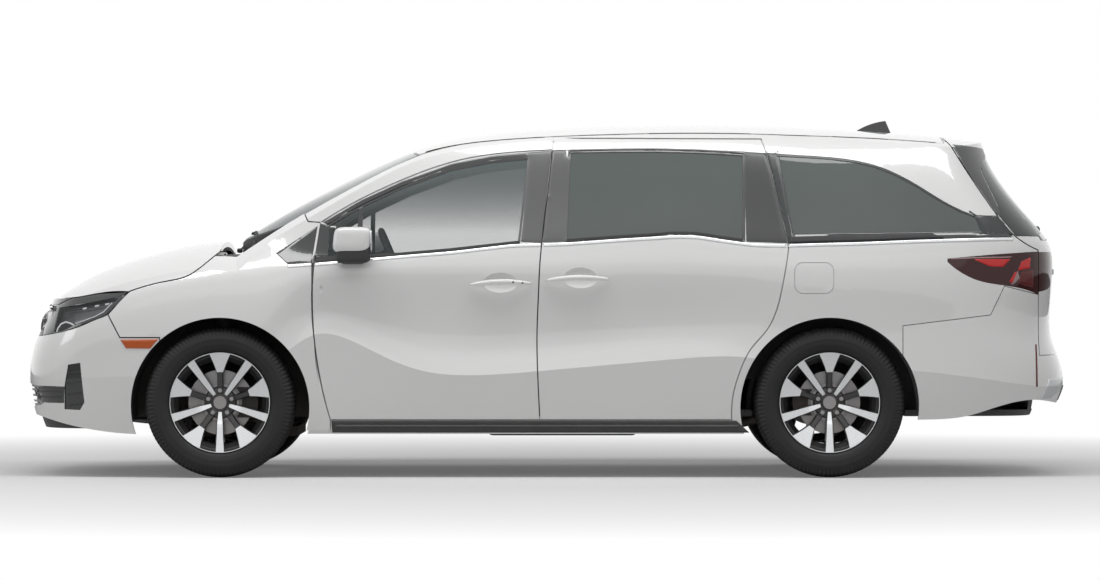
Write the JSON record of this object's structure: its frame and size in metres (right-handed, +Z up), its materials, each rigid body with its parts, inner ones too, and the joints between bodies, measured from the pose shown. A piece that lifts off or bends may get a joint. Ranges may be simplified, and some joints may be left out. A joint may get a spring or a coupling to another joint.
{
  "type": "minivan",
  "caption": "White family minivan with front doors on hinges, sliding rear side doors, hood, tailgate, steered front wheels on knuckles and a full cabin of seats.",
  "frame": {"origin": "on the ground under the middle of the car", "axes": "front towards -X, left side towards -Y, +Z up"},
  "size_m": [5.212, 2.26, 1.7868],
  "materials": {
    "paint": "gloss white",
    "glass": "clear grey",
    "rubber": "matt",
    "tyre": "matt",
    "alloy": "machined",
    "steel": "plain",
    "iron": "rough",
    "black_plastic": "fine grain",
    "lamp": "clear",
    "red_lamp": "dark red",
    "leather": "light grey"
  },
  "bodies": {
    "body": {"body_side_left": "paint", "body_side_right": "paint", "sliding_door_left": "paint", "sliding_door_right": "paint", "front_fenders": "paint", "front_bumper": "paint", "rear_bumper": "paint", "roof": "paint", "antenna": "paint", "sliding_door_glass": "glass", "quarter_glass": "glass", "windshield": "glass", "door_seals": "rubber", "front_carrier": "black_plastic", "grille": "black_plastic", "cowl": "black_plastic", "wheelhouse_liners": "black_plastic", "dashboard": "black_plastic", "steering_column": "black_plastic", "fuel_tank": "black_plastic", "headlamps": "lamp", "tail_lamps": "red_lamp", "front_seats": "leather", "middle_seats": "leather", "rear_bench": "leather", "floor_pan": "steel", "exhaust": "steel", "front_struts": "steel", "front_subframe": "iron", "rear_axle": "iron", "engine": "iron"},
    "hood": {"hood": "paint"},
    "tailgate": {"tailgate": "paint", "tailgate_glass": "glass", "tailgate_lamps": "red_lamp"},
    "front_door_left": {"front_door_left": "paint", "front_door_glass_left": "glass", "mirror_left": "paint"},
    "front_door_right": {"front_door_right": "paint", "front_door_glass_right": "glass", "mirror_right": "paint"},
    "knuckle_left": {"knuckle_left": "iron"},
    "knuckle_right": {"knuckle_right": "iron"},
    "steering_wheel": {"steering_wheel": "black_plastic"},
    "wheel_front_left": {"tyre_front_left": "tyre", "rim_front_left": "alloy", "hub_front_left": "iron"},
    "wheel_front_right": {"tyre_front_right": "tyre", "rim_front_right": "alloy", "hub_front_right": "iron"},
    "wheel_rear_left": {"tyre_rear_left": "tyre", "rim_rear_left": "alloy", "hub_rear_left": "iron"},
    "wheel_rear_right": {"tyre_rear_right": "tyre", "rim_rear_right": "alloy", "hub_rear_right": "iron"}
  },
  "joints": [
    {"name": "hood_hinge", "type": "hinge", "parent": "body", "child": "hood", "pos_m": [-1.6, 0, 1.1], "axis": [0, 1, 0], "range_deg": [0, 48]},
    {"name": "tailgate_hinge", "type": "hinge", "parent": "body", "child": "tailgate", "pos_m": [1.936, 0, 1.644], "axis": [0, -1, 0], "range_deg": [0, 80]},
    {"name": "front_door_left_hinge", "type": "hinge", "parent": "body", "child": "front_door_left", "pos_m": [-1.105, -0.971, 0.8], "axis": [0, 0, -1], "range_deg": [0, 65]},
    {"name": "front_door_right_hinge", "type": "hinge", "parent": "body", "child": "front_door_right", "pos_m": [-1.105, 0.971, 0.8], "axis": [0, 0, 1], "range_deg": [0, 65]},
    {"name": "steer_left", "type": "hinge", "parent": "body", "child": "knuckle_left", "pos_m": [-1.606, -0.768, 0.225], "axis": [0, 0.2006, 0.9797], "range_deg": [-35, 35]},
    {"name": "steer_right", "type": "hinge", "parent": "body", "child": "knuckle_right", "pos_m": [-1.606, 0.768, 0.225], "axis": [0, -0.2006, 0.9797], "range_deg": [-35, 35]},
    {"name": "steering_wheel_turn", "type": "hinge", "parent": "body", "child": "steering_wheel", "pos_m": [-0.76, -0.42, 1.046], "axis": [0.9285, 0, 0.3714], "range_deg": [-460, 460]},
    {"name": "wheel_front_left_spin", "type": "hinge", "parent": "knuckle_left", "child": "wheel_front_left", "pos_m": [-1.606, -0.855, 0.37], "axis": [0, -1, 0], "continuous": true},
    {"name": "wheel_front_right_spin", "type": "hinge", "parent": "knuckle_right", "child": "wheel_front_right", "pos_m": [-1.606, 0.855, 0.37], "axis": [0, -1, 0], "continuous": true},
    {"name": "wheel_rear_left_spin", "type": "hinge", "parent": "body", "child": "wheel_rear_left", "pos_m": [1.394, -0.855, 0.37], "axis": [0, -1, 0], "continuous": true},
    {"name": "wheel_rear_right_spin", "type": "hinge", "parent": "body", "child": "wheel_rear_right", "pos_m": [1.394, 0.855, 0.37], "axis": [0, -1, 0], "continuous": true}
  ],
  "couplings": [
    {"joint": "steer_right", "follows": "steer_left", "ratio": 1},
    {"joint": "steering_wheel_turn", "follows": "steer_left", "ratio": 13}
  ]
}
